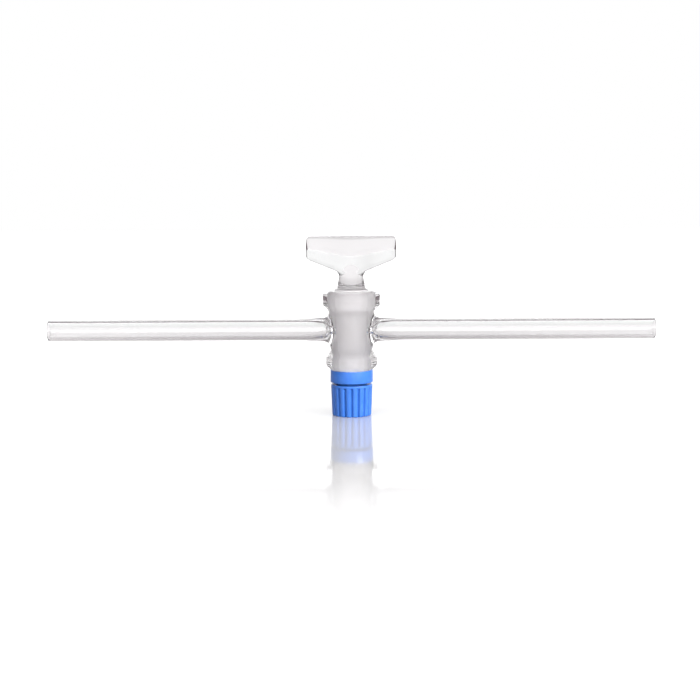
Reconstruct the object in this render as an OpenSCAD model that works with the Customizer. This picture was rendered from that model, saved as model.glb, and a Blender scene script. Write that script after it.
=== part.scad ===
// Glass stopcock with a ground taper key, a T-handle and a screw retaining device.
// It stands on its nut: +Z runs up the key, the two side arms run along X, Z = 0 is the nut's underside.

/* [Side arms] */
// Distance between the two open ends
span = 225; // [160:1:300]
// Height of the arms' centre line
arm_z = 32; // [30:0.5:33]
// Outside diameter of the tubing
tube_od = 8; // [7.5:0.5:9]
// Wall of the tubing
tube_wall = 1; // [0.8:0.1:1.3]
// Outside diameter where the tubing meets the barrel
root_od = 9; // [8.5:0.5:10]
// Length of arm over which the tubing swells to that diameter, from the key's axis
swell_end = 20; // [18:1:26]
// Where the tubing's bore starts to close in, from the key's axis
bore_end = 15; // [14:0.5:18]
// Radius of the fillet between arm and barrel
arm_fillet = 3.2; // [2:0.2:3.6]

/* [Barrel] */
// Lower end of the barrel
barrel_z0 = 16.8; // [16.4:0.1:17]
// Upper end of the barrel
barrel_z1 = 46.6; // [46:0.1:47]
// Diameter of the barrel just above the lower collar
waist_d = 15.8; // [15:0.2:17]
// Diameter of the lower collar
low_collar_d = 19.1; // [18:0.1:20]
// Diameter of the upper collar
top_collar_d = 21.5; // [20.5:0.1:23]

/* [Ground taper] */
// Diameter of the barrel's bore at its upper end
taper_d = 12.5; // [12:0.1:13]
// Gap between key and barrel, on the radius
taper_gap = 0.06; // [0.04:0.01:0.1]
// Bore through the key and ports in the barrel
port_d = 2.5; // [1.5:0.5:3]

/* [Key] */
// Overall height, the top of the handle
key_top = 66.6; // [64:0.2:70]
// Width of the T-handle
handle_w = 33.4; // [28:0.2:38]
// Thickness of the T-handle
handle_t = 6.8; // [5:0.2:8]
// Diameter of the tail below the taper
tail_d = 8; // [7.6:0.1:8.2]
// Height of the tail's end above the surface that the nut stands on
tail_z = 0.5; // [0.3:0.1:1]
// Depth of the groove round the tail
groove_depth = 0.9; // [0.6:0.1:1]

/* [Flanged sleeve] */
// Diameter of the smooth flange
flange_d = 15.8; // [15.2:0.1:16]
// Underside of the flange
flange_z = 12.4; // [12.3:0.1:12.6]
// Outside diameter of the sleeve's thread
thread_d = 12.2; // [11.6:0.1:12.4]
// Lower end of the threaded tube
sleeve_z = 7.7; // [7.7:0.1:9]

/* [Ribbed nut] */
// Height of the nut
nut_h = 11.6; // [11:0.1:11.7]
// Diameter at the top
nut_top_d = 15.4; // [14.8:0.1:16]
// Diameter at the bottom
nut_low_d = 14.6; // [13.8:0.1:15]
// Number of flutes
flutes = 18; // [12:1:24]
// Width of a flute
flute_w = 0.95; // [0.6:0.05:1.2]
// Smooth band left above the flutes
rim_h = 0.9; // [0.6:0.1:1.5]

/* [Hidden] */
$fn = 96;
eps = 0.01;

// The ground taper is 1 in 10 on the diameter.
taper_slope = 1 / 20;
run_gap = 0.08;
tube_r = tube_od / 2;
bore_r = tube_r - tube_wall;
port_r = port_d / 2;
tail_r = tail_d / 2;

// Barrel: a fire-polished lower edge, a cone to the lower collar, then waist, upper collar and top edge.
end_round = 1.25;
end_flat_r = 6.9;
collar_round = 1.2;
low_collar_z0 = barrel_z0 + 2.4;
low_collar_z1 = barrel_z0 + 4.7;
top_collar_z0 = barrel_z1 - 4.9;
low_shoulder = 3.2;
top_shoulder = 3.1;
top_round = 2;
waist_steps = 56;

// Key: plug, waisted neck and handle.
plug_z0 = 15.2;
plug_z1 = 47.1;
neck_z = 53.6;
neck_r = 4.4;
neck_end_r = 5.5;
neck_top_z = 54.4;
handle_low_z = 58.2;
handle_corner = 1.6;
handle_foot_w = 11;
handle_foot_z = 53.6;
handle_bevel = 1.5;
dome_z = 59;

// Retaining device, from the bottom up.
ring_t = 1.4;
groove_z = 2.7;
groove_slack = 0.1;
rubber_t = 1.4;
web_t = 1;
pocket_r = 5.7;
nut_round = 0.4;
cup_gap = 0.06;
recess_r = 5.2;
recess_z = 14.2;
thread_r = thread_d / 2;
thread_gap = 0.05;
web_z = groove_z + ring_t + groove_slack + rubber_t;

function arc(c, r, a0, a1, steps = 8) =
    [for (i = [0:steps]) let (a = a0 + (a1 - a0) * i / steps) [c[0] + r * cos(a), c[1] + r * sin(a)]];
function ease(t) = (1 - cos(180 * min(max(t, 0), 1))) / 2;
function taper_r(z) = taper_d / 2 + (z - barrel_z1) * taper_slope;

// Barrel radius between the lower collar and the upper one.
function waist_r(z) = waist_d / 2 + (z - low_collar_z1 - low_shoulder) * taper_slope * 0.85;
function barrel_r(z) =
    let (low = ease((low_collar_z1 + low_shoulder - z) / low_shoulder))
    let (top = ease((z - top_collar_z0 + top_shoulder) / top_shoulder))
    waist_r(z) + (low_collar_d / 2 - waist_r(z)) * low + (top_collar_d / 2 - waist_r(z)) * top;

module barrel_solid() {
    rotate_extrude()
        polygon(concat(
            [[0, barrel_z0]],
            arc([end_flat_r, barrel_z0 + end_round], end_round, -90, -45, 4),
            arc([low_collar_d / 2 - collar_round, low_collar_z0], collar_round, -45, 0, 5),
            [for (i = [0:waist_steps])
                let (z = low_collar_z1 + (top_collar_z0 - low_collar_z1) * i / waist_steps)
                [barrel_r(z), z]],
            arc([top_collar_d / 2 - top_round, barrel_z1 - top_round], top_round, 0, 90, 5),
            [[0, barrel_z1]]));
}

// Outline of one arm beside the X axis: swollen root, straight tube and fire-polished end.
module arm_outline() {
    polygon(concat(
        [[0, 0], [root_od / 2, 0], [root_od / 2, swell_end / 2]],
        [for (t = [0.25:0.25:1])
            [root_od / 2 + (tube_r - root_od / 2) * ease(t), swell_end * (1 + t) / 2]],
        arc([tube_r - tube_wall / 2, span / 2 - tube_wall / 2], tube_wall / 2, 0, 90, 5),
        [[0, span / 2]]));
}

// Trumpet round the arm's root, kept to the barrel's sides by the same fillet seen from above.
module arm_root() {
    reach = waist_r(arm_z) + arm_fillet;
    side = root_od / 2 + arm_fillet;
    side_x = sqrt(reach * reach - side * side);
    intersection() {
        rotate_extrude()
            polygon(concat(
                [[0, 0], [side, 0]],
                arc([side, reach], arm_fillet, -90, -180),
                [[0, reach]]));
        rotate([90, 0, 0])
            linear_extrude(2 * side, center = true) {
                translate([-root_od / 2, 0])
                    square([root_od, reach]);
                difference() {
                    translate([-side, 0])
                        square([2 * side, side_x]);
                    for (s = [-1, 1])
                        translate([s * side, side_x])
                            circle(arm_fillet);
                }
            }
    }
}

// The bore of one arm, closing to the port in the barrel's wall.
module arm_cavity() {
    close_l = 6;
    translate([0, 0, bore_end])
        cylinder(r = bore_r, h = span / 2);
    rotate_extrude()
        polygon(concat(
            [[0, 0], [port_r, 0], [port_r, bore_end - close_l]],
            [for (a = [15:15:90])
                [port_r + (bore_r - port_r) * sin(a), bore_end - close_l * cos(a)]],
            [[bore_r, bore_end + eps], [0, bore_end + eps]]));
}

// Rounded lip of the tubing's open end, cut out of the solid arm.
module mouth_cut() {
    r = tube_wall / 2;
    translate([0, 0, span / 2 - r])
        rotate_extrude()
            polygon(concat([[0, 0]], arc([bore_r + r, 0], r, 180, 90, 5), [[0, r + eps]]));
}

module along_arm(side) {
    translate([0, 0, arm_z])
        rotate([0, side * 90, 0])
            children();
}

module glass_body() {
    color([0.86, 0.9, 0.93, 0.45])
        difference() {
            union() {
                barrel_solid();
                for (side = [-1, 1])
                    along_arm(side) {
                        rotate_extrude() arm_outline();
                        rotate([0, 0, 90]) arm_root();
                    }
            }
            translate([0, 0, barrel_z0 - 1])
                cylinder(r1 = taper_r(barrel_z0 - 1), r2 = taper_r(barrel_z1 + 1),
                    h = barrel_z1 - barrel_z0 + 2);
            for (side = [-1, 1])
                along_arm(side) {
                    arm_cavity();
                    mouth_cut();
                }
        }
}

// Turned shape of the key, from the tail's end to inside the handle.
module key_turning() {
    plug_r0 = taper_r(plug_z0) - taper_gap;
    plug_r1 = taper_r(plug_z1) - taper_gap;
    tail_chamfer = 0.5;
    rotate_extrude()
        polygon(concat(
            [[0, tail_z], [tail_r - tail_chamfer, tail_z], [tail_r, tail_z + tail_chamfer],
             [tail_r, groove_z], [tail_r - groove_depth, groove_z],
             [tail_r - groove_depth, groove_z + ring_t + groove_slack],
             [tail_r, groove_z + ring_t + groove_slack], [tail_r, plug_z0 - 0.4],
             [plug_r0 - 0.3, plug_z0 - 0.1], [plug_r0, plug_z0 + 0.2], [plug_r1, plug_z1]],
            [for (t = [0:0.1:1])
                [neck_r + (neck_end_r - neck_r) * pow(1 - t, 1.6), plug_z1 + 0.3 + (neck_z - plug_z1 - 0.3) * t]],
            [for (a = [15:15:90])
                [neck_r * cos(a), neck_top_z + (dome_z - neck_top_z) * sin(a)]]));
}

// Face outline of the handle, drawn inside its edge by the given inset.
module handle_face(inset) {
    side_x = handle_w / 2 - handle_corner;
    r = handle_corner - inset;
    hull()
        for (s = [-1, 1]) {
            translate([s * side_x, key_top - handle_corner]) circle(r, $fn = 32);
            translate([s * side_x, handle_low_z + handle_corner / 2]) circle(r, $fn = 32);
            translate([s * (handle_foot_w / 2 - handle_corner), handle_foot_z + handle_corner])
                circle(r, $fn = 32);
        }
}

module handle() {
    hull() {
        rotate([90, 0, 0])
            linear_extrude(handle_t - 2 * handle_bevel, center = true) handle_face(0);
        rotate([90, 0, 0])
            linear_extrude(handle_t - handle_bevel / 2, center = true) handle_face(handle_bevel / 2);
        rotate([90, 0, 0])
            linear_extrude(handle_t, center = true) handle_face(handle_bevel);
    }
}

module glass_key() {
    color([0.9, 0.93, 0.95, 0.55])
        difference() {
            union() {
                key_turning();
                handle();
            }
            translate([0, 0, arm_z])
                rotate([0, 90, 0])
                    cylinder(r = port_r, h = 2 * taper_d, center = true);
        }
}

// One moulding: a cupped flange that bears on the barrel, and the tube that carries the thread.
module flanged_sleeve() {
    cup_c = [end_flat_r, barrel_z0 + end_round];
    cup_r = end_round + cup_gap;
    rim_r = flange_d / 2 - 0.2;
    cup_angle = -acos((rim_r - cup_c[0]) / cup_r);
    edge = 0.3;
    color([0.25, 0.5, 0.92])
        rotate_extrude()
            polygon(concat(
                [[tail_r + run_gap, sleeve_z], [thread_r - edge, sleeve_z], [thread_r, sleeve_z + edge],
                 [thread_r, flange_z]],
                arc([flange_d / 2 - edge, flange_z + edge], edge, -90, 0, 4),
                [[flange_d / 2, cup_c[1] + cup_r * sin(cup_angle) - 0.2]],
                arc(cup_c, cup_r, cup_angle, -90, 6),
                [[recess_r, barrel_z0 - cup_gap], [recess_r, recess_z], [tail_r + run_gap, recess_z]]));
}

module flute() {
    lean = atan((nut_top_d - nut_low_d) / 2 / nut_h);
    translate([nut_low_d / 2, 0, 0])
        rotate([0, lean, 0]) {
            translate([0, 0, -1])
                cylinder(d = flute_w, h = nut_h - rim_h + 1, $fn = 24);
        }
}

// Cap with a fluted skirt. Its web pulls on the tail through the rubber ring and the split ring.
module ribbed_nut() {
    edge = 0.25;
    color([0.2, 0.45, 0.9])
        difference() {
            rotate_extrude()
                polygon(concat(
                    [[0, 0]],
                    arc([nut_low_d / 2 - nut_round, nut_round], nut_round, -90, 0, 5),
                    arc([nut_top_d / 2 - edge, nut_h - edge], edge, 0, 90, 4),
                    [[0, nut_h]]));
            for (i = [0:flutes - 1])
                rotate([0, 0, 360 / flutes * (i + 0.5)])
                    flute();
            translate([0, 0, -1])
                cylinder(r = pocket_r, h = web_z + 1);
            cylinder(r = tail_r + run_gap, h = nut_h + 1);
            translate([0, 0, web_z + web_t])
                cylinder(r = thread_r + thread_gap, h = nut_h);
        }
}

// O-ring, flattened between the nut's web and the split ring.
module rubber_ring() {
    r_in = tail_r + 0.15;
    color([0.08, 0.08, 0.09])
        rotate_extrude()
            translate([r_in + rubber_t / 2, web_z - rubber_t / 2])
                intersection() {
                    circle(rubber_t / 2);
                    square([rubber_t, rubber_t - 0.1], center = true);
                }
}

// Open ring that snaps into the tail's groove.
module split_ring() {
    mouth = 70;
    r_in = tail_r - groove_depth + run_gap;
    color([0.93, 0.93, 0.9])
        translate([0, 0, groove_z])
            rotate_extrude(angle = 360 - mouth, start = mouth / 2)
                translate([r_in, 0])
                    square([pocket_r - 0.2 - r_in, ring_t]);
}

glass_body();
glass_key();
flanged_sleeve();
ribbed_nut();
rubber_ring();
split_ring();
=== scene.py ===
import math
import bmesh
import bpy
import numpy as np
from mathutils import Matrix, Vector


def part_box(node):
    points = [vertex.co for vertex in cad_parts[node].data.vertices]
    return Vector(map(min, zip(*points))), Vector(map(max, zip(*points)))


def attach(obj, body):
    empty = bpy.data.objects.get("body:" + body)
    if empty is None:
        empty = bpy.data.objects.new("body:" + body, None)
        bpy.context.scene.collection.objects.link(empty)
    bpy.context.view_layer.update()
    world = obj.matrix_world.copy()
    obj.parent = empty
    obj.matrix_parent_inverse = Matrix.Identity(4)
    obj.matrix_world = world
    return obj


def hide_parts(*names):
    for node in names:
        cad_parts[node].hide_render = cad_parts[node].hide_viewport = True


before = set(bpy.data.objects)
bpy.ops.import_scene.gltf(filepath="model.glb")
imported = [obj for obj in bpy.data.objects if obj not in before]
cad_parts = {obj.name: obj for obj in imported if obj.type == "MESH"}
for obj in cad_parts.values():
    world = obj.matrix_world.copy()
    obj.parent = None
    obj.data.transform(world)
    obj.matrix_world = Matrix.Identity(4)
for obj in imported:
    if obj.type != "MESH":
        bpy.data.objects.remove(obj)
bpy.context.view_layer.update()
scene = bpy.context.scene

# Sizes are in millimetres: Z runs up the key, X along the arms.
mm = 0.001
around = 128  # points round a turned glass surface
side = around // 4  # cells along each side of a square window, so its rim has as many points as a turned ring
weld = 0.0005 * mm  # points nearer than this are one

glassFit = {
    "taperMouth": 12.5,  # bore of the barrel at its upper end
    "taperSlope": 1 / 20,  # 1 in 10 on the diameter
    "gap": 0.06,
    "port": 1.25,  # radius of the way through
    "flowHeight": 32.0,
    "windowRise": 4.4,  # half height of the patch of fine mesh round a port
}


boxes = {node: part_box(node) for node in ("glass_body", "glass_key", "flanged_sleeve", "ribbed_nut")}


def nodeHeights(node):
    low, high = boxes[node]
    return low.z / mm, high.z / mm


def ease(t):
    return (1 - np.cos(np.pi * np.clip(t, 0, 1))) / 2


def arcPoints(centre, radius, start, end, steps):
    angles = np.radians(np.linspace(start, end, steps + 1))
    return [(centre[0] + radius * math.cos(a), centre[1] + radius * math.sin(a)) for a in angles]


def lineTo(start, end, steps):
    # points along a straight stretch, without its first one
    ts = np.linspace(0, 1, steps + 1)[1:]
    return [(start[0] + (end[0] - start[0]) * t, start[1] + (end[1] - start[1]) * t) for t in ts]


def taperRadius(z):
    top = nodeHeights("glass_body")[1]
    return glassFit["taperMouth"] / 2 + (z - top) * glassFit["taperSlope"]


# A mesh is gathered from blocks of points and quads, then welded.
class Shell:
    def __init__(self):
        self.points, self.faces, self.slots = [], [], []

    def grid(self, rows, slot=0, closed=True, skip=None):
        rows = np.asarray(rows, float)
        count, across = rows.shape[:2]
        first = len(self.points)
        self.points.extend(rows.reshape(-1, 3))
        for i in range(count - 1):
            for j in range(across if closed else across - 1):
                if skip is not None and skip(i, j):
                    continue
                k = (j + 1) % across
                a, b = first + i * across, first + (i + 1) * across
                self.faces.append((a + j, a + k, b + k, b + j))
                self.slots.append(slot)

    def twice(self, build):
        # the same half again, turned about Z
        start, faceStart = len(self.points), len(self.faces)
        build()
        points, faces = self.points[start:], self.faces[faceStart:]
        slots = self.slots[faceStart:]
        shift = len(points)
        self.points.extend(np.array(p) * (-1, -1, 1) for p in points)
        self.faces.extend(tuple(v + shift for v in f) for f in faces)
        self.slots.extend(slots)

    def build(self, name, materials, sharp=40):
        mesh = bpy.data.meshes.new(name)
        mesh.from_pydata([tuple(np.array(p) * mm) for p in self.points], [], self.faces)
        for material in materials:
            mesh.materials.append(material)
        mesh.polygons.foreach_set("material_index", self.slots)
        shape = bmesh.new()
        shape.from_mesh(mesh)
        bmesh.ops.remove_doubles(shape, verts=shape.verts, dist=weld)
        bmesh.ops.dissolve_degenerate(shape, edges=shape.edges, dist=weld)
        bmesh.ops.recalc_face_normals(shape, faces=shape.faces)
        openEdges = sum(1 for e in shape.edges if len(e.link_faces) != 2)
        shape.to_mesh(mesh)
        shape.free()
        mesh.polygons.foreach_set("use_smooth", [True] * len(mesh.polygons))
        mesh.set_sharp_from_angle(angle=math.radians(sharp))
        piece = bpy.data.objects.new(name, mesh)
        scene.collection.objects.link(piece)
        print(f"{name}: {len(mesh.polygons)} faces, {openEdges} open edges")
        return piece


def turned(profile):
    # rows of points, one for each (radius, height) of the profile
    angles = 2 * np.pi * np.arange(around) / around
    return [np.stack([r * np.cos(angles), r * np.sin(angles), np.full(around, z)], 1) for r, z in profile]


def windowCut(firstRow):
    # leaves two square windows out of a turned grid, at +X and -X
    def skip(i, j):
        turn = (j + side // 2) % (around // 2)
        return firstRow <= i < firstRow + side and turn < side
    return skip


def windowRim(angleSpan, low, high, radiusAt):
    # the rim of the +X window as (angle, height), in the order of ringAngles
    ts = np.arange(side) / side
    a, z = angleSpan * (2 * ts - 1), low + (high - low) * ts
    angles = np.concatenate([a, np.full(side, angleSpan), -a, np.full(side, -angleSpan)])
    heights = np.concatenate([np.full(side, low), z, np.full(side, high), (low + high) - z])
    radii = radiusAt(heights)
    return angles, heights, np.stack([radii * np.cos(angles), radii * np.sin(angles), heights], 1)


ringAngles = np.radians(-135 + 360 * np.arange(around) / around)


def armRing(x, radius, height):
    return np.stack([np.full(around, float(x)), radius * np.cos(ringAngles),
                     height + radius * np.sin(ringAngles)], 1)


def portPatch(shell, radiusAt, slot, steps=12):
    # ground surface between a round port and the square window left for it
    height, port, rise = glassFit["flowHeight"], glassFit["port"], glassFit["windowRise"]
    rimAngles, rimHeights, _ = windowRim(np.pi / 4, height - rise, height + rise, radiusAt)
    z = height + port * np.sin(ringAngles)
    a = np.arcsin(port * np.cos(ringAngles) / radiusAt(z))
    rows = []
    for t in np.linspace(0, 1, steps + 1):
        angles, heights = a + (rimAngles - a) * t, z + (rimHeights - z) * t
        radii = radiusAt(heights)
        rows.append(np.stack([radii * np.cos(angles), radii * np.sin(angles), heights], 1))
    shell.grid(rows, slot)
    return rows[0]


def slopeOf(field, points, step=0.002):
    columns = []
    for axis in range(3):
        shift = np.zeros(3)
        shift[axis] = step
        columns.append((field(points + shift) - field(points - shift)) / (2 * step))
    return np.stack(columns, 1)


def settle(points, field, rounds=8):
    # moves points along the field's slope on to the surface where it is nought
    points = np.array(points, float)
    for _ in range(rounds):
        slope = slopeOf(field, points)
        points -= slope * (field(points) / np.maximum((slope ** 2).sum(1), 1e-9))[:, None]
    return points


def filleted(first, second, radius):
    # union of two distance fields with a round fillet between them
    def field(p):
        a, b = first(p), second(p)
        outside = np.maximum(radius, np.minimum(a, b))
        return outside - np.hypot(np.maximum(radius - a, 0), np.maximum(radius - b, 0))
    return field


glassFinish = {
    "ior": 1.473,
    "absorb": (0.75, 0.65, 0.70, 1),
    "absorbDensity": 1.0,  # per metre
    "groundRoughness": 0.45,
    "groundThrough": 0.15,  # share of the light that the ground faces pass as rough glass
    "groundBehind": 0.1,  # share of the scattered light that comes out on the far side
    "groundPatch": ((0.97, 0.965, 0.97), (1, 0.99, 0.995)),
    "groundWhite": (0.995, 0.97, 0.98, 1),
    "rippleHeight": 0.0012,
    "smudge": ((1, 1, 1), (0.985, 0.99, 0.992)),
    "smudgeRoughness": 0.02,
}


def newMaterial(name):
    material = bpy.data.materials.new(name)
    material.use_nodes = True
    nodes, links = material.node_tree.nodes, material.node_tree.links
    shader = nodes["Principled BSDF"]
    coords = nodes.new("ShaderNodeTexCoord")
    return material, nodes, links, shader, coords.outputs["Object"]


def addNoise(nodes, links, coords, scale, detail=3, roughness=0.5):
    noise = nodes.new("ShaderNodeTexNoise")
    noise.inputs["Scale"].default_value = scale
    noise.inputs["Detail"].default_value = detail
    noise.inputs["Roughness"].default_value = roughness
    links.new(coords, noise.inputs["Vector"])
    return noise.outputs["Fac"]


def addRange(nodes, links, value, low, high, fromLow=0.3, fromHigh=0.7):
    span = nodes.new("ShaderNodeMapRange")
    for name, number in (("From Min", fromLow), ("From Max", fromHigh), ("To Min", low), ("To Max", high)):
        span.inputs[name].default_value = number
    links.new(value, span.inputs["Value"])
    return span.outputs["Result"]


def addBump(nodes, links, height, strength, distance):
    bump = nodes.new("ShaderNodeBump")
    bump.inputs["Strength"].default_value = strength
    bump.inputs["Distance"].default_value = distance
    links.new(height, bump.inputs["Height"])
    return bump.outputs["Normal"]


def addTint(nodes, links, value, first, second):
    ramp = nodes.new("ShaderNodeValToRGB")
    ramp.color_ramp.elements[0].position, ramp.color_ramp.elements[0].color = 0.3, (*first, 1)
    ramp.color_ramp.elements[1].position, ramp.color_ramp.elements[1].color = 0.7, (*second, 1)
    links.new(value, ramp.inputs["Fac"])
    return ramp.outputs["Color"]


def addAbsorption(material, nodes, links):
    volume = nodes.new("ShaderNodeVolumeAbsorption")
    volume.inputs["Color"].default_value = glassFinish["absorb"]
    volume.inputs["Density"].default_value = glassFinish["absorbDensity"]
    links.new(volume.outputs["Volume"], nodes["Material Output"].inputs["Volume"])


def clearGlass():
    material, nodes, links, shader, coords = newMaterial("clearGlass")
    shader.inputs["Transmission Weight"].default_value = 1
    shader.inputs["IOR"].default_value = glassFinish["ior"]
    smudge = addNoise(nodes, links, coords, 90, 4)
    rough = addRange(nodes, links, smudge, 0.0, glassFinish["smudgeRoughness"])
    links.new(rough, shader.inputs["Roughness"])
    links.new(addTint(nodes, links, smudge, *glassFinish["smudge"]), shader.inputs["Base Color"])
    ripple = addNoise(nodes, links, coords, 160, 1)  # flame-worked glass is never quite even
    links.new(addBump(nodes, links, ripple, 0.5, glassFinish["rippleHeight"] * mm), shader.inputs["Normal"])
    addAbsorption(material, nodes, links)
    return material


def groundGlass():
    material, nodes, links, shader, coords = newMaterial("groundGlass")
    shader.inputs["Transmission Weight"].default_value = 1
    shader.inputs["IOR"].default_value = glassFinish["ior"]
    rough = glassFinish["groundRoughness"]
    patch = addNoise(nodes, links, coords, 220, 4)
    links.new(addRange(nodes, links, patch, rough - 0.05, rough + 0.06), shader.inputs["Roughness"])
    links.new(addTint(nodes, links, patch, *glassFinish["groundPatch"]), shader.inputs["Base Color"])
    grain = addNoise(nodes, links, coords, 5200, 2)
    links.new(addBump(nodes, links, grain, 0.35, 0.02 * mm), shader.inputs["Normal"])
    # the ground skin scatters light both ways
    white = glassFinish["groundWhite"]
    back, through = nodes.new("ShaderNodeBsdfDiffuse"), nodes.new("ShaderNodeBsdfTranslucent")
    back.inputs["Color"].default_value = white
    through.inputs["Color"].default_value = white
    scatter, skin = nodes.new("ShaderNodeMixShader"), nodes.new("ShaderNodeMixShader")
    scatter.inputs["Fac"].default_value = glassFinish["groundBehind"]
    links.new(back.outputs[0], scatter.inputs[1])
    links.new(through.outputs[0], scatter.inputs[2])
    skin.inputs["Fac"].default_value = 1 - glassFinish["groundThrough"]
    links.new(shader.outputs[0], skin.inputs[1])
    links.new(scatter.outputs[0], skin.inputs[2])
    links.new(skin.outputs[0], nodes["Material Output"].inputs["Surface"])
    addAbsorption(material, nodes, links)
    return material


plasticFinish = {
    "shade": (0.026, 0.117, 0.430),
    "shadeAlt": (0.032, 0.133, 0.470),
    "roughness": 0.34,
    "rubber": (0.022, 0.022, 0.025),
    "rubberRoughness": 0.55,
    "acetal": (0.78, 0.78, 0.74),
    "acetalRoughness": 0.42,
}


def bluePlastic():
    material, nodes, links, shader, coords = newMaterial("bluePlastic")
    flow = addNoise(nodes, links, coords, 260, 3)
    links.new(addTint(nodes, links, flow, plasticFinish["shade"], plasticFinish["shadeAlt"]),
              shader.inputs["Base Color"])
    rough = plasticFinish["roughness"]
    links.new(addRange(nodes, links, flow, rough - 0.05, rough + 0.05), shader.inputs["Roughness"])
    shader.inputs["Specular IOR Level"].default_value = 0.5
    shader.inputs["Subsurface Weight"].default_value = 0.15
    shader.inputs["Subsurface Radius"].default_value = (0.3, 0.6, 1.0)
    shader.inputs["Subsurface Scale"].default_value = 0.6 * mm
    grain = addNoise(nodes, links, coords, 3800, 2)
    links.new(addBump(nodes, links, grain, 0.25, 0.012 * mm), shader.inputs["Normal"])
    return material


def plainPlastic(name, shade, roughness):
    material, nodes, links, shader, coords = newMaterial(name)
    flow = addNoise(nodes, links, coords, 400, 3)
    lighter = tuple(min(1, c * 1.08 + 0.004) for c in shade)
    links.new(addTint(nodes, links, flow, shade, lighter), shader.inputs["Base Color"])
    links.new(addRange(nodes, links, flow, roughness - 0.06, roughness + 0.06), shader.inputs["Roughness"])
    grain = addNoise(nodes, links, coords, 4200, 2)
    links.new(addBump(nodes, links, grain, 0.3, 0.01 * mm), shader.inputs["Normal"])
    return material


clear = clearGlass()
ground = groundGlass()
blue = bluePlastic()
print("materials made")

# the glass body: barrel, collars and both arms in one skin
barrel = {
    "endFlat": 6.9,
    "endRound": 1.25,
    "lowCollar": 9.55,
    "lowCollarRound": 1.2,
    "lowCollarRise": (2.4, 4.7),  # above the barrel's lower end
    "topCollar": 10.75,
    "topCollarDrop": 4.9,  # below the barrel's upper end
    "topRound": 2.0,
    "lowShoulder": 3.2,
    "topShoulder": 3.1,
    "waist": 7.9,
    "waistSlope": 0.0425,
    "mouthRound": 0.35,
    "windowReach": 8.6,  # half height of the mesh window round an arm
}
arm = {
    "radius": 4.0,
    "wall": 1.0,
    "rootRadius": 4.5,
    "swellEnd": 20.0,
    "boreEnd": 16.5,
    "closing": 9.0,
    "fillet": 2.2,
    "skinStart": 13.0,  # where the fillet's mesh hands over to the arm's
}


def barrelRadius(z):
    low, top = nodeHeights("glass_body")
    foot = low + barrel["lowCollarRise"][1]
    head = top - barrel["topCollarDrop"]
    waist = barrel["waist"] + (z - foot - barrel["lowShoulder"]) * barrel["waistSlope"]
    lower = ease((foot + barrel["lowShoulder"] - z) / barrel["lowShoulder"])
    upper = ease((z - head + barrel["topShoulder"]) / barrel["topShoulder"])
    return waist + (barrel["lowCollar"] - waist) * lower + (barrel["topCollar"] - waist) * upper


def armRadius(x):
    swell = ease((arm["swellEnd"] - x) / (arm["swellEnd"] / 2))
    return arm["radius"] + (arm["rootRadius"] - arm["radius"]) * swell


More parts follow.
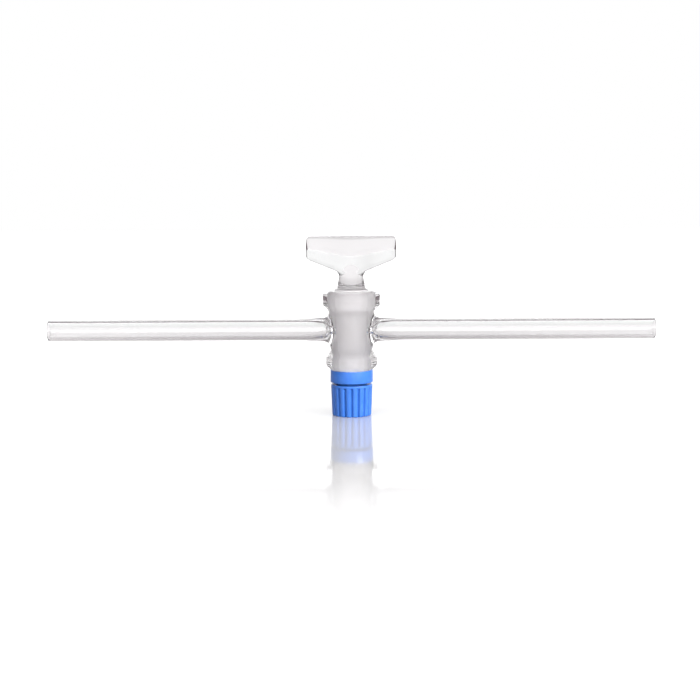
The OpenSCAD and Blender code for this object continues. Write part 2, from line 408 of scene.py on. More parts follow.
def makeBody():
    low, top = nodeHeights("glass_body")
    reach = boxes["glass_body"][1].x / mm
    flow = glassFit["flowHeight"]
    shell = Shell()

    # outside of the barrel, from the lower mouth round to the upper one
    mouth = barrel["mouthRound"]
    lowBore, topBore = taperRadius(low + mouth), taperRadius(top - mouth)
    footTurn = (barrel["endFlat"], low + barrel["endRound"])
    collarTurn = (barrel["lowCollar"] - barrel["lowCollarRound"], low + barrel["lowCollarRise"][0])
    outside = arcPoints((lowBore + mouth, low + mouth), mouth, 180, 270, 6)
    outside += lineTo(outside[-1], (barrel["endFlat"], low), 3)
    outside += arcPoints(footTurn, barrel["endRound"], -90, -45, 8)[1:]
    outside += arcPoints(collarTurn, barrel["lowCollarRound"], -45, 0, 8)
    foot, head = low + barrel["lowCollarRise"][1], top - barrel["topCollarDrop"]
    windowLow, windowHigh = flow - barrel["windowReach"], flow + barrel["windowReach"]
    heights = np.concatenate([np.linspace(foot, windowLow, 7)[:-1],
                              np.linspace(windowLow, windowHigh, side + 1),
                              np.linspace(windowHigh, head, 9)[1:]])
    firstRow = len(outside) + 6
    outside += [(float(barrelRadius(z)), float(z)) for z in heights]
    topTurn = (barrel["topCollar"] - barrel["topRound"], top - barrel["topRound"])
    outside += arcPoints(topTurn, barrel["topRound"], 0, 90, 10)
    outside += lineTo(outside[-1], (topBore + mouth, top), 4)
    outside += arcPoints((topBore + mouth, top - mouth), mouth, 90, 180, 6)[1:]
    shell.grid(turned(outside), skip=windowCut(firstRow))

    # ground bore, tapered
    rise = glassFit["windowRise"]
    heights = np.concatenate([np.linspace(low + mouth, flow - rise, 9)[:-1],
                              np.linspace(flow - rise, flow + rise, side + 1),
                              np.linspace(flow + rise, top - mouth, 9)[1:]])
    shell.grid(turned([(taperRadius(z), z) for z in heights]), 1, skip=windowCut(8))

    def barrelField(p):
        return np.hypot(p[:, 0], p[:, 1]) - barrelRadius(p[:, 2])

    def armField(p):
        return np.hypot(p[:, 1], p[:, 2] - flow) - armRadius(np.abs(p[:, 0]))

    skin = filleted(barrelField, armField, arm["fillet"])

    def oneArm():
        _, _, rim = windowRim(np.pi / 4, windowLow, windowHigh, barrelRadius)
        start = armRing(arm["skinStart"], armRadius(arm["skinStart"]), flow)
        elbow = start.copy()
        elbow[:, 0] = np.sqrt(barrelRadius(elbow[:, 2]) ** 2 - elbow[:, 1] ** 2) + 0.4
        rows = [rim]
        for t in np.linspace(1, 0, 31)[1:-1]:
            guess = (1 - t) ** 2 * start + 2 * t * (1 - t) * elbow + t * t * rim
            rows.append(settle(guess, skin))
        shell.grid(rows + [start])
        lip = arm["wall"] / 2
        lipTurn = reach - lip
        straight = list(np.linspace(arm["skinStart"], arm["swellEnd"], 9))
        straight += list(np.linspace(arm["swellEnd"], lipTurn, 9)[1:])
        rows = [armRing(x, armRadius(x), flow) for x in straight]
        for a in np.radians(np.linspace(0, 180, 15)[1:]):
            rows.append(armRing(lipTurn + lip * math.sin(a), arm["radius"] - lip + lip * math.cos(a), flow))
        bore = arm["radius"] - arm["wall"]
        port = glassFit["port"]
        rows += [armRing(x, bore, flow) for x in np.linspace(lipTurn, arm["boreEnd"], 9)[1:]]
        for a in np.radians(np.linspace(90, 0, 13)[1:]):
            rows.append(armRing(arm["boreEnd"] - arm["closing"] * math.cos(a),
                                port + (bore - port) * math.sin(a), flow))
        portEnd = portPatch(shell, taperRadius, 1)
        inner = arm["boreEnd"] - arm["closing"]
        rows += [armRing(x, port, flow) for x in np.linspace(inner, taperRadius(flow) + 0.6, 4)[1:]]
        shell.grid(rows + [portEnd])

    shell.twice(oneArm)
    return shell.build("glassBody", [clear, ground])


body = makeBody()
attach(body, "body")
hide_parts("glass_body")

# the glass key: tail, ground plug, neck and T-handle in one skin
key = {
    "plug": (15.2, 47.1),
    "tail": 4.0,
    "tailRound": 0.6,
    "tailEdge": 0.15,
    "plugRound": 0.35,
    "groove": (2.7, 4.2, 0.9),  # from, to, depth
    "neckTop": 53.6,
    "neck": 4.4,
    "neckRoot": 5.5,
    "blendFrom": 51.2,  # height on the neck where its mesh hands over to the handle's
    "fade": 12.5,  # the neck runs out to a point this far up inside the handle
    "width": 16.7,
    "thick": 4.2,
    "endThick": 2.9,
    "ridge": 0.25,  # soft ridge along the middle of each face
    "swell": 6.5,  # how far the thick middle reaches sideways
    "power": 5.0,  # roundness of the handle's section: 2 is an ellipse
    "foot": (5.5, 53.6),
    "underRise": 0.41,
    "topCorner": 1.6,
    "lowCorner": 1.3,
    "endFade": 1.7,
    "fillet": 0.9,
    "windowX": 8.4,
    "windowTurn": 96,
}


def handleTop(x):
    top = nodeHeights("glass_key")[1]
    corner = key["topCorner"]
    over = np.clip(np.abs(x) - (key["width"] - corner), 0, corner)
    return top - (corner - np.sqrt(corner ** 2 - over ** 2))


def handleUnder(x):
    footX, footZ = key["foot"]
    x = np.abs(x)
    under = footZ + key["underRise"] * (np.sqrt(x ** 2 + 2.0) - footX)
    corner = key["lowCorner"]
    over = np.clip(x - (key["width"] - corner), 0, corner)
    return under + 0.8 * (corner - np.sqrt(corner ** 2 - over ** 2))


def handleSection(x):
    top, under = handleTop(x), handleUnder(x)
    fade = np.clip((np.abs(x) - (key["width"] - key["endFade"])) / key["endFade"], 0, 1)
    thick = key["endThick"] + (key["thick"] - key["endThick"]) * np.exp(-(x / key["swell"]) ** 2)
    return (top + under) / 2, (top - under) / 2, thick * np.sqrt(np.maximum(1 - fade ** 2.2, 0))


def signedPower(value, power):
    return np.sign(value) * np.abs(value) ** power


def ridgeAt(u):
    return 1 + key["ridge"] / key["endThick"] * (np.exp(-(u / 0.45) ** 2) - 0.3)


def handleRow(x, turns):
    middle, half, thick = handleSection(np.array(float(x)))
    power = 2 / key["power"]
    u = signedPower(np.sin(turns), power)
    return np.stack([np.full(len(turns), float(x)), thick * signedPower(np.cos(turns), power) * ridgeAt(u),
                     middle + half * u], 1)


def handleField(p):
    def level(q):
        middle, half, thick = handleSection(q[:, 0])
        n = key["power"]
        u = (q[:, 2] - middle) / half
        thick = np.maximum(thick, 0.2) * ridgeAt(u)
        return (np.abs(q[:, 1] / thick) ** n + np.abs(u) ** n) ** (1 / n) - 1
    slope = slopeOf(level, p)
    return level(p) / np.maximum(np.sqrt((slope ** 2).sum(1)), 0.05)


def neckRadius(z):
    plugTop = key["plug"][1] + 0.3
    t = np.clip((z - plugTop) / (key["neckTop"] - plugTop), 0, 1)
    radius = key["neck"] + (key["neckRoot"] - key["neck"]) * (1 - t) ** 1.6
    return radius * np.maximum(1 - np.maximum(z - key["neckTop"], 0) / key["fade"], 0)


def neckField(p):
    def level(q):
        return np.hypot(q[:, 0], q[:, 1]) - neckRadius(q[:, 2])
    slope = slopeOf(level, p)
    return level(p) / np.sqrt((slope ** 2).sum(1))


def makeKey():
    low = nodeHeights("glass_key")[0]
    flow, rise, gap = glassFit["flowHeight"], glassFit["windowRise"], glassFit["gap"]
    shell = Shell()

    def plugRadius(z):
        return taperRadius(z) - gap

    # tail with its groove, up to the plug's small end
    tail, tailRound = key["tail"], key["tailRound"]
    plugLow, plugTop = key["plug"]
    grooveLow, grooveTop, depth = key["groove"]
    edge, plugRound = key["tailEdge"], key["plugRound"]
    profile = [(0, low), (1.2, low), (2.4, low)]
    profile += arcPoints((tail - tailRound, low + tailRound), tailRound, -90, 0, 6)
    profile += arcPoints((tail - edge, grooveLow - edge), edge, 0, 90, 3)
    profile += arcPoints((tail - depth + edge, grooveLow + edge), edge, 270, 180, 3)
    profile += arcPoints((tail - depth + edge, grooveTop - edge), edge, 180, 90, 3)
    profile += arcPoints((tail - edge, grooveTop + edge), edge, 270, 360, 3)
    profile += [(tail, 8.0), (tail, plugLow - 0.8)]
    plugTurn = (plugRadius(plugLow + plugRound) - plugRound, plugLow + plugRound)
    profile += arcPoints(plugTurn, plugRound, -70, 0, 4)
    shell.grid(turned(profile))

    # ground plug with the cross bore
    start = profile[-1][1]
    heights = np.concatenate([np.linspace(start, flow - rise, 9)[:-1],
                              np.linspace(flow - rise, flow + rise, side + 1),
                              np.linspace(flow + rise, plugTop - 0.3, 9)[1:]])
    shell.grid([turned([(plugRadius(z), z)])[0] for z in heights], 1, skip=windowCut(8))

    def halfBore():
        rim = portPatch(shell, plugRadius, 1)
        shell.grid([rim] + [armRing(x, glassFit["port"], flow) for x in (3.5, 1.75, 0)])

    shell.twice(halfBore)

    # shoulder and neck
    shoulder = arcPoints((plugRadius(plugTop - 0.3) - 0.3, plugTop - 0.3), 0.3, 0, 80, 5)
    neckStart = plugTop + 0.3
    neckRise = np.linspace(neckStart, key["blendFrom"], 14)
    shoulder += [(float(neckRadius(z)), float(z)) for z in neckRise]
    shell.grid(turned(shoulder))

    # handle, open below where the neck joins it
    turn = math.radians(key["windowTurn"])
    bottom = -np.pi / 2
    # turns round the section: the window's cells first, then the rest
    windowTurns = bottom + np.linspace(-turn, turn, side + 1)
    restTurns = np.linspace(bottom + turn, bottom + 2 * np.pi - turn, side + 1)[1:-1]
    turns = np.concatenate([windowTurns, restTurns])
    windowX = np.linspace(-key["windowX"], key["windowX"], side + 1)
    ends = key["width"] - (1 - np.cos(np.linspace(0, np.pi / 2, 22))) * (key["width"] - key["windowX"])
    xs = np.concatenate([-ends[:-1], windowX, ends[:-1][::-1]])
    firstX = len(ends) - 1
    rows = [handleRow(x, turns) for x in xs]
    shell.grid(rows, skip=lambda i, j: firstX <= i < firstX + side and j < side)

    # blend between neck and handle
    grid = np.array([rows[firstX + i][: side + 1] for i in range(side + 1)])
    rim = np.concatenate([grid[:-1, side], grid[-1, side:0:-1], grid[:0:-1, 0], grid[0, :-1]])
    ring = turned([(float(neckRadius(key["blendFrom"])), key["blendFrom"])])[0]
    # the rim starts at -X on the +Y side and runs towards +X
    offset = round(around * 135 / 360)
    order = (offset - np.arange(around)) % around
    start = ring[order]
    skin = filleted(neckField, handleField, key["fillet"])
    blendRows = [rim]
    for t in np.linspace(0, 1, 25)[1:-1]:
        middle = rim * (1 - t) + start * t
        lift = 0.8 * math.sin(math.pi * t)
        middle[:, :2] *= 1 + 0.02 * lift
        blendRows.append(settle(middle, skin, 14))
    shell.grid(blendRows + [start])
    return shell.build("glassKey", [clear, ground])


keyPiece = makeKey()
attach(keyPiece, "key")
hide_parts("glass_key")

# the flanged sleeve, with a thread on its tube
sleeve = {
    "bore": 4.08,
    "threadCore": 5.45,
    "threadTop": 6.05,
    "pitch": 1.5,
    "flange": 7.9,
    "flangeLow": 12.4,
    "edge": 0.3,
    "bevel": 0.2,
    "cupGap": 0.06,
    "recess": (5.2, 14.2),
    "threadMargin": (0.7, 0.4),  # bare tube left under and over the thread
}


def makeSleeve():
    low = nodeHeights("flanged_sleeve")[0]
    bodyLow = nodeHeights("glass_body")[0]
    core, flange, edge = sleeve["threadCore"], sleeve["flange"], sleeve["edge"]
    cupTurn = (barrel["endFlat"], bodyLow + barrel["endRound"])
    cupRadius = barrel["endRound"] + sleeve["cupGap"]
    rim = flange - 0.2
    angle = -math.degrees(math.acos((rim - cupTurn[0]) / cupRadius))
    cup = arcPoints(cupTurn, cupRadius, angle, -90, 10)
    bore, bevel = sleeve["bore"], sleeve["bevel"]
    profile = [(bore, low + bevel), (bore + bevel, low), (core - edge, low), (core, low + edge)]
    profile += lineTo(profile[-1], (core, sleeve["flangeLow"] - 0.15), 3)
    profile += [(core + 0.15, sleeve["flangeLow"]), (flange - edge - 0.6, sleeve["flangeLow"])]
    profile += arcPoints((flange - edge, sleeve["flangeLow"] + edge), edge, -90, 0, 6)
    profile += arcPoints((flange - 0.12, cup[0][1] - 0.12), 0.12, 0, 90, 4)
    profile += cup
    recess, recessZ = sleeve["recess"]
    profile += [(recess + 0.1, cup[-1][1]), (recess, cup[-1][1] - 0.1), (recess, recessZ)]
    profile += [(bore + bevel, recessZ), (bore, recessZ - bevel), profile[0]]
    shell = Shell()
    shell.grid(turned(profile))
    return shell.build("flangedSleeve", [blue])


def nodeTree(name, sockets):
    tree = bpy.data.node_groups.new(name, "GeometryNodeTree")
    tree.interface.new_socket("Geometry", in_out="INPUT", socket_type="NodeSocketGeometry")
    ids = {}
    for label, kind, value in sockets:
        socket = tree.interface.new_socket(label, in_out="INPUT", socket_type=kind)
        if value is not None:
            socket.default_value = value
        ids[label] = socket.identifier
    tree.interface.new_socket("Geometry", in_out="OUTPUT", socket_type="NodeSocketGeometry")
    return tree, ids, tree.nodes.new("NodeGroupInput"), tree.nodes.new("NodeGroupOutput")


def plainMesh(carrier, tree, values, name):
    # runs a tree on the carrier and keeps the result as an ordinary mesh
    modifier = carrier.modifiers.new("maker", "NODES")
    modifier.node_group = tree
    for identifier, value in values.items():
        modifier[identifier] = value
    bpy.context.view_layer.update()
    graph = bpy.context.evaluated_depsgraph_get()
    mesh = bpy.data.meshes.new_from_object(carrier.evaluated_get(graph))
    carrier.modifiers.remove(modifier)
    mesh.name = name
    piece = bpy.data.objects.new(name, mesh)
    scene.collection.objects.link(piece)
    bpy.data.objects.remove(carrier)
    return piece


def makeThread():
    # a ridge swept along a helix, sunk into the sleeve's tube
    sockets = [("Radius", "NodeSocketFloat", 5.4 * mm), ("Length", "NodeSocketFloat", 4 * mm),
               ("Pitch", "NodeSocketFloat", 1.5 * mm), ("Height", "NodeSocketFloat", 0.6 * mm),
               ("Start", "NodeSocketFloat", 8 * mm), ("Material", "NodeSocketMaterial", None)]
    tree, ids, source, result = nodeTree("threadRidge", sockets)
    nodes, links = tree.nodes, tree.links
    turnCount = nodes.new("ShaderNodeMath")
    turnCount.operation = "DIVIDE"
    links.new(source.outputs["Length"], turnCount.inputs[0])
    links.new(source.outputs["Pitch"], turnCount.inputs[1])
    helix = nodes.new("GeometryNodeCurveSpiral")
    helix.inputs["Resolution"].default_value = 72
    links.new(turnCount.outputs[0], helix.inputs["Rotations"])
    links.new(source.outputs["Radius"], helix.inputs["Start Radius"])
    links.new(source.outputs["Radius"], helix.inputs["End Radius"])
    links.new(source.outputs["Length"], helix.inputs["Height"])
    upright = nodes.new("GeometryNodeSetCurveNormal")
    upright.mode = "Z_UP"
    links.new(helix.outputs["Curve"], upright.inputs["Curve"])
    ridge = nodes.new("GeometryNodeCurvePrimitiveCircle")
    ridge.inputs["Resolution"].default_value = 10
    links.new(source.outputs["Height"], ridge.inputs["Radius"])
    squash = nodes.new("GeometryNodeTransform")
    squash.inputs["Scale"].default_value = (1.0, 0.72, 1)
    links.new(ridge.outputs["Curve"], squash.inputs["Geometry"])
    sweep = nodes.new("GeometryNodeCurveToMesh")
    sweep.inputs["Fill Caps"].default_value = True
    links.new(upright.outputs["Curve"], sweep.inputs["Curve"])
    links.new(squash.outputs["Geometry"], sweep.inputs["Profile Curve"])
    place = nodes.new("GeometryNodeTransform")
    height = nodes.new("ShaderNodeCombineXYZ")
    links.new(source.outputs["Start"], height.inputs["Z"])
    links.new(height.outputs["Vector"], place.inputs["Translation"])
    links.new(sweep.outputs["Mesh"], place.inputs["Geometry"])
    smooth = nodes.new("GeometryNodeSetShadeSmooth")
    links.new(place.outputs["Geometry"], smooth.inputs["Geometry"])
    realize = nodes.new("GeometryNodeRealizeInstances")
    links.new(smooth.outputs["Geometry"], realize.inputs["Geometry"])
    paint = nodes.new("GeometryNodeSetMaterial")
    links.new(realize.outputs["Geometry"], paint.inputs["Geometry"])
    links.new(source.outputs["Material"], paint.inputs["Material"])
    links.new(paint.outputs["Geometry"], result.inputs["Geometry"])

    carrier = bpy.data.objects.new("threadCarrier", bpy.data.meshes.new("threadCarrier"))
    scene.collection.objects.link(carrier)
    low = nodeHeights("flanged_sleeve")[0]
    ridgeHeight = sleeve["threadTop"] - sleeve["threadCore"]
    under, over = sleeve["threadMargin"]
    values = {ids["Radius"]: sleeve["threadCore"] * mm, ids["Pitch"]: sleeve["pitch"] * mm,
              ids["Length"]: (sleeve["flangeLow"] - low - under - over) * mm,
              ids["Height"]: ridgeHeight * mm, ids["Start"]: (low + under) * mm, ids["Material"]: blue}
    return plainMesh(carrier, tree, values, "sleeveThread")


sleevePiece = makeSleeve()
threadPiece = makeThread()
for piece in (sleevePiece, threadPiece):
    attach(piece, "sleeve")
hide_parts("flanged_sleeve")
print("sleeve and thread made")

# the ribbed nut: one sector, repeated round the axis
nut = {
    "flutes": 18,
    "lowRadius": 7.3,
    "topRadius": 7.7,
    "footRound": 0.4,
    "rimRound": 0.25,
    "rim": 0.85,
    "fluteWidth": 1.15,
    "fluteDepth": 0.7,
    "crown": 0.2,
    "cells": 24,
    "bore": 6.15,
    "web": (5.6, 6.6),
    "pocket": 5.7,
    "tailHole": 4.08,
    "bevel": 0.2,
}


def fluteDepth(angle, z, top):
    # how far the skin lies under the plain cone, at an angle from the middle of a land
    radius = nut["topRadius"]
    pitch = 2 * math.pi * radius / nut["flutes"]
    across = pitch / 2 - abs(angle) * radius
    half = nut["fluteWidth"] / 2
    groove = math.cos(math.pi / 2 * min(across / half, 1)) ** 1.3
    land = (abs(across - pitch / 2) / (pitch / 2 - half / 2)) ** 2
    start = top - nut["rim"]
    end = math.sqrt(max(0.0, 1 - max(0.0, (z - start + 0.45) / 0.45) ** 2)) if z > start - 0.45 else 1
    return nut["fluteDepth"] * groove * end + nut["crown"] * min(land, 1) * end


def makeNut():
    low, top = nodeHeights("ribbed_nut")
    foot, rim = nut["footRound"], nut["rimRound"]
    outside = arcPoints((nut["lowRadius"] - foot, low + foot), foot, -90, 0, 7)
    straight = lineTo(outside[-1], (nut["topRadius"], top - rim), 40)
    head = arcPoints((nut["topRadius"] - rim, top - rim), rim, 0, 90, 6)[1:]
    bevel, bore, hole, pocket = nut["bevel"], nut["bore"], nut["tailHole"], nut["pocket"]
    webLow, webTop = nut["web"]
    inside = [(bore + bevel, top), (bore, top - bevel), (bore, webTop), (hole + bevel, webTop),
              (hole, webTop - bevel), (hole, webLow), (pocket, webLow), (pocket, low + bevel),
              (pocket + bevel, low), outside[0]]
    profile = outside + straight + head + inside
    fluted = len(outside) + len(straight)
    step = 2 * math.pi / nut["flutes"]
    angles = np.linspace(-step / 2, step / 2, nut["cells"] + 1)
    rows = []
    for i, (radius, z) in enumerate(profile):
        row = []
        for angle in angles:
            cut = fluteDepth(angle, z, top) * min(1, (z - low) / 0.1 + 0.4) if i < fluted else 0
            row.append(((radius - cut) * math.cos(angle), (radius - cut) * math.sin(angle), z))
        rows.append(row)
    rows[-1] = rows[0]
    shell = Shell()
    shell.grid(rows, closed=False)
    sector = bpy.data.meshes.new("nutSector")
    sector.from_pydata([tuple(np.array(p) * mm) for p in shell.points], [], shell.faces)
    carrier = bpy.data.objects.new("nutSector", sector)
    scene.collection.objects.link(carrier)

    sockets = [("Count", "NodeSocketInt", 18), ("Weld", "NodeSocketFloat", weld),
               ("Material", "NodeSocketMaterial", None)]
    tree, ids, source, result = nodeTree("roundTheAxis", sockets)
    nodes, links = tree.nodes, tree.links
    spots = nodes.new("GeometryNodePoints")
    links.new(source.outputs["Count"], spots.inputs["Count"])
    index = nodes.new("GeometryNodeInputIndex")
    share = nodes.new("ShaderNodeMath")
    share.operation = "DIVIDE"
    links.new(index.outputs[0], share.inputs[0])
    links.new(source.outputs["Count"], share.inputs[1])
    turn = nodes.new("ShaderNodeMath")
    turn.operation = "MULTIPLY"
    turn.inputs[1].default_value = 2 * math.pi
    links.new(share.outputs[0], turn.inputs[0])
    angle = nodes.new("ShaderNodeCombineXYZ")
    links.new(turn.outputs[0], angle.inputs["Z"])
    copies = nodes.new("GeometryNodeInstanceOnPoints")
    links.new(spots.outputs[0], copies.inputs["Points"])
    links.new(source.outputs["Geometry"], copies.inputs["Instance"])
    links.new(angle.outputs["Vector"], copies.inputs["Rotation"])
    realize = nodes.new("GeometryNodeRealizeInstances")
    links.new(copies.outputs["Instances"], realize.inputs["Geometry"])
    join = nodes.new("GeometryNodeMergeByDistance")
    links.new(realize.outputs["Geometry"], join.inputs["Geometry"])
    links.new(source.outputs["Weld"], join.inputs["Distance"])
    smooth = nodes.new("GeometryNodeSetShadeSmooth")
    links.new(join.outputs["Geometry"], smooth.inputs["Geometry"])
    paint = nodes.new("GeometryNodeSetMaterial")
    links.new(smooth.outputs["Geometry"], paint.inputs["Geometry"])
    links.new(source.outputs["Material"], paint.inputs["Material"])
    links.new(paint.outputs["Geometry"], result.inputs["Geometry"])
    values = {ids["Count"]: nut["flutes"], ids["Weld"]: weld * 4, ids["Material"]: blue}
    piece = plainMesh(carrier, tree, values, "ribbedNut")

    shape = bmesh.new()
    shape.from_mesh(piece.data)
    bmesh.ops.remove_doubles(shape, verts=shape.verts, dist=weld * 4)
    bmesh.ops.recalc_face_normals(shape, faces=shape.faces)
    print("ribbedNut open edges", sum(1 for e in shape.edges if len(e.link_faces) != 2))
    shape.to_mesh(piece.data)
    shape.free()
    piece.data.set_sharp_from_angle(angle=math.radians(50))
    return piece


nutPiece = makeNut()
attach(nutPiece, "nut")
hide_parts("ribbed_nut")
print("nut made")


def dress(node, material):
    # the rings inside the nut keep their own shape and get a finish
    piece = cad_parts[node]
    piece.data.materials.clear()
    piece.data.materials.append(material)


dress("rubber_ring", plainPlastic("blackRubber", plasticFinish["rubber"], plasticFinish["rubberRoughness"]))
dress("split_ring", plainPlastic("whiteAcetal", plasticFinish["acetal"], plasticFinish["acetalRoughness"]))
print("rings dressed")

# the studio's lengths are in metres
studio = {
    "floorSize": 8.0,
    "floorSeen": (0.66, 0.66, 0.66),
    "floorInGlass": ((0.42, 0.402, 0.409), (0.78, 0.767, 0.771)),  # painted shade: the sheet as other rays see it, darker near the object; near, far
    "nearToFar": (0.03, 0.25),
    "paintedDarkSides": (0.13, 0.105, 0.115),  # painted shade: dark bands on the sheet on both sides of the white strip behind the object, seen only by glossy rays
    "stripFrom": 0.45,  # the strip widens from a point this far in front
    "stripSlope": (0.29, 0.40),
    "floorRoughness": 0.06,
    "paintedGlow": (0.085, 0.2, 0.6),  # painted light: from this distance to that one the sheet glows lighter, by so much
}
view = {
    "lens": 60.0,
    "elevation": 6.8,  # degrees above the sheet
    "distance": 0.4345,
    "roll": 0.3,
    "lookAt": (-0.0003, 0, 0.0243),
}


def makeFloor():
    half = studio["floorSize"] / 2
    mesh = bpy.data.meshes.new("floor")
    corners = [(-half, -half, 0), (half, -half, 0), (half, half, 0), (-half, half, 0)]
    mesh.from_pydata(corners, [], [(0, 1, 2, 3)])
    floor = bpy.data.objects.new("floor", mesh)
    scene.collection.objects.link(floor)
    material, nodes, links, shader, coords = newMaterial("whiteSheet")
    path = nodes.new("ShaderNodeLightPath")
    shader.inputs["Base Color"].default_value = (*studio["floorSeen"], 1)
    shader.inputs["Roughness"].default_value = studio["floorRoughness"]
    apart = nodes.new("ShaderNodeVectorMath")
    apart.operation = "LENGTH"
    links.new(coords, apart.inputs[0])
    # painted shade: seen through the glass the sheet is matt and darker close to the object
    dull, choose = nodes.new("ShaderNodeBsdfDiffuse"), nodes.new("ShaderNodeMixShader")
    away = addRange(nodes, links, apart.outputs["Value"], 0, 1, *studio["nearToFar"])
    nearShade, farShade = studio["floorInGlass"]
    strip = addMix(nodes, links, away, (*nearShade, 1), (*farShade, 1))
    # painted shade: glossy rays see the sheet dark on both sides of a strip that widens backwards
    parts, across = nodes.new("ShaderNodeSeparateXYZ"), nodes.new("ShaderNodeMath")
    across.operation = "ABSOLUTE"
    links.new(coords, parts.inputs[0])
    links.new(parts.outputs["X"], across.inputs[0])
    depth, spread = nodes.new("ShaderNodeMath"), nodes.new("ShaderNodeMath")
    depth.operation = "ADD"
    depth.inputs[1].default_value = studio["stripFrom"]
    links.new(parts.outputs["Y"], depth.inputs[0])
    spread.operation = "DIVIDE"
    links.new(across.outputs[0], spread.inputs[0])
    links.new(depth.outputs[0], spread.inputs[1])
    aside = addRange(nodes, links, spread.outputs[0], 0, 1, *studio["stripSlope"])
    paintedDarkMask = nodes.new("ShaderNodeMath")
    paintedDarkMask.operation = "MULTIPLY"
    links.new(aside, paintedDarkMask.inputs[0])
    links.new(path.outputs["Is Glossy Ray"], paintedDarkMask.inputs[1])
    shade = addMix(nodes, links, paintedDarkMask.outputs[0], strip, (*studio["paintedDarkSides"], 1))
    links.new(shade, dull.inputs["Color"])
    links.new(path.outputs["Is Camera Ray"], choose.inputs["Fac"])
    links.new(dull.outputs[0], choose.inputs[1])
    links.new(shader.outputs[0], choose.inputs[2])
    links.new(choose.outputs[0], nodes["Material Output"].inputs["Surface"])
    # painted light: for camera rays the sheet glows, more the farther it lies from the object, leaving it
    # darker close by
    near, far, most = studio["paintedGlow"]
    shader.inputs["Emission Color"].default_value = (1, 1, 1, 1)
    paintedGlow = nodes.new("ShaderNodeMath")
    paintedGlow.operation = "MULTIPLY"
    links.new(addRange(nodes, links, apart.outputs["Value"], 0, most, near, far), paintedGlow.inputs[0])
    links.new(path.outputs["Is Camera Ray"], paintedGlow.inputs[1])
    links.new(paintedGlow.outputs[0], shader.inputs["Emission Strength"])
    mesh.materials.append(material)


def addRamp(nodes, links, value, stops):
    ramp = nodes.new("ShaderNodeValToRGB")
    ramp.color_ramp.interpolation = "EASE"
    elements = ramp.color_ramp.elements
    for _ in range(len(stops) - 2):
        elements.new(0.5)
    for element, (position, shade) in zip(elements, stops):
        element.position = position
        element.color = (shade, shade, shade, 1)
    links.new(value, ramp.inputs["Fac"])
    return ramp.outputs["Color"]


def addMix(nodes, links, factor, first, second):
    mix = nodes.new("ShaderNodeMix")
    mix.data_type = "RGBA"
    for name, value in (("Factor", factor), ("A", first), ("B", second)):
        if isinstance(value, tuple):
            mix.inputs[name].default_value = value
        else:
            links.new(value, mix.inputs[name])
    return mix.outputs["Result"]


sweep = {
    # degrees from straight behind, minus to the left, and how bright the wall is there
    "walls": [(-180, 3.6), (-150, 2.8), (-115, 0.35), (-95, 0.14), (-86, 0.25), (-80, 0.06), (-50, 0.09),
              (-40, 0.55), (-30, 0.88), (30, 0.88), (40, 0.55), (50, 0.09), (78, 0.06), (86, 0.7), (100, 1.2),
              (140, 3.4), (180, 3.5)],
    "behind": [(0.0, 0.0), (0.2, 0.0), (0.26, 1.0), (0.74, 1.0), (0.8, 0.0), (1, 0.0)],
    "wallHeight": [(0.0, 1.0), (0.775, 1.0), (0.805, 0.0)],
    "stripInFront": (1.2, 1.2, 1.2, 1),
    "stripBehind": (0.09, 0.05, 0.07, 1),
    "roofEdge": [(0.94, 0.0), (0.965, 1.0)],
    "roof": (2.6, 2.6, 2.6, 1),
    "mirrored": (-0.7, 0.8),  # change of brightness in mirrored light, in front and behind
}


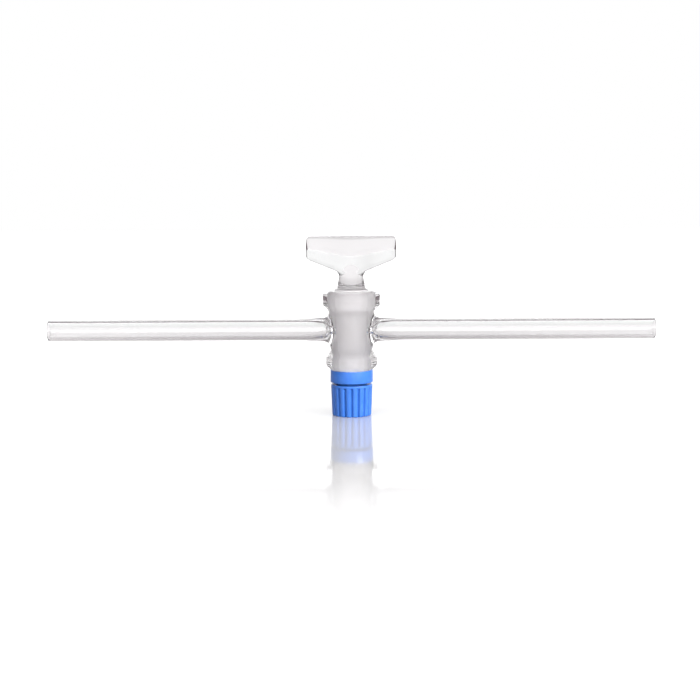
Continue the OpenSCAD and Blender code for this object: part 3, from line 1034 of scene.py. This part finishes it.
def makeWorld():
    # a white sweep behind, dimmer sides that draw the edges of the glass, and a bright roof
    world = bpy.data.worlds.new("studio")
    world.use_nodes = True
    scene.world = world
    nodes, links = world.node_tree.nodes, world.node_tree.links
    nodes.clear()
    output = nodes.new("ShaderNodeOutputWorld")
    coords = nodes.new("ShaderNodeTexCoord")
    parts = nodes.new("ShaderNodeSeparateXYZ")
    links.new(coords.outputs["Generated"], parts.inputs[0])
    heading = nodes.new("ShaderNodeMath")
    heading.operation = "ARCTAN2"
    links.new(parts.outputs["X"], heading.inputs[0])
    links.new(parts.outputs["Y"], heading.inputs[1])
    turn = addRange(nodes, links, heading.outputs[0], 0, 1, -math.pi, math.pi)
    level = addRamp(nodes, links, turn, [((a + 180) / 360, w) for a, w in sweep["walls"]])
    height = addRange(nodes, links, parts.outputs["Z"], 0, 1, -1, 1)
    # over the walls: a strip, dark only at the back, then the roof
    wallShare = addRamp(nodes, links, height, sweep["wallHeight"])
    behind = addRamp(nodes, links, turn, sweep["behind"])
    strip = addMix(nodes, links, behind, sweep["stripInFront"], sweep["stripBehind"])
    roofShare = addRamp(nodes, links, height, sweep["roofEdge"])
    roof = addMix(nodes, links, roofShare, strip, sweep["roof"])
    blend = addMix(nodes, links, wallShare, roof, level)
    lit = nodes.new("ShaderNodeBackground")
    links.new(blend, lit.inputs["Color"])
    plain = nodes.new("ShaderNodeBackground")
    plain.inputs["Color"].default_value = (1, 1, 1, 1)
    path = nodes.new("ShaderNodeLightPath")
    # mirrored light: a brighter sweep behind, dimmer boxes in front
    mirrored = nodes.new("ShaderNodeMath")
    mirrored.operation = "SUBTRACT"
    mirrored.use_clamp = True
    links.new(path.outputs["Is Glossy Ray"], mirrored.inputs[0])
    links.new(path.outputs["Is Transmission Ray"], mirrored.inputs[1])
    strength = nodes.new("ShaderNodeMath")
    strength.operation = "MULTIPLY_ADD"
    links.new(mirrored.outputs[0], strength.inputs[0])
    links.new(addRange(nodes, links, behind, *sweep["mirrored"], 0, 1), strength.inputs[1])
    strength.inputs[2].default_value = 1
    links.new(strength.outputs[0], lit.inputs["Strength"])
    choose = nodes.new("ShaderNodeMixShader")
    links.new(path.outputs["Is Camera Ray"], choose.inputs["Fac"])
    links.new(lit.outputs[0], choose.inputs[1])
    links.new(plain.outputs[0], choose.inputs[2])
    links.new(choose.outputs[0], output.inputs["Surface"])


def makeCamera():
    camera = bpy.data.objects.new("camera", bpy.data.cameras.new("camera"))
    scene.collection.objects.link(camera)
    camera.data.lens = view["lens"]
    camera.data.clip_start = 0.01
    a = math.radians(view["elevation"])
    x, y, z = view["lookAt"]
    camera.location = (x, y - view["distance"] * math.cos(a), z + view["distance"] * math.sin(a))
    camera.rotation_euler = (math.pi / 2 - a, math.radians(view["roll"]), 0)
    scene.camera = camera


rightBox = {"spot": (0.62, -0.6, 0.42), "aim": (0, 0, 0.03), "size": (0.5, 0.12), "power": 17.0}


def makeRightBox():
    # a long soft box that lights only the plastic
    light = bpy.data.lights.new("rightBox", "AREA")
    light.shape = "RECTANGLE"
    light.size, light.size_y = rightBox["size"]
    light.energy = rightBox["power"]
    lamp = bpy.data.objects.new("rightBox", light)
    scene.collection.objects.link(lamp)
    lamp.location = rightBox["spot"]
    lit = bpy.data.collections.new("rightBox")
    for piece in (sleevePiece, nutPiece):
        lit.objects.link(piece)
    lamp.light_linking.receiver_collection = lit
    lamp.visible_transmission = False
    x, y, z = np.array(rightBox["aim"]) - np.array(rightBox["spot"])
    lamp.rotation_euler = (math.atan2(math.hypot(x, y), -z), 0, math.atan2(y, x) - math.pi / 2)


makeFloor()
makeWorld()
makeCamera()
makeRightBox()

scene.view_settings.view_transform = "Standard"
scene.cycles.use_denoising = True
scene.cycles.max_bounces = 32
scene.cycles.transmission_bounces = 32
scene.cycles.glossy_bounces = 12
print("studio made")
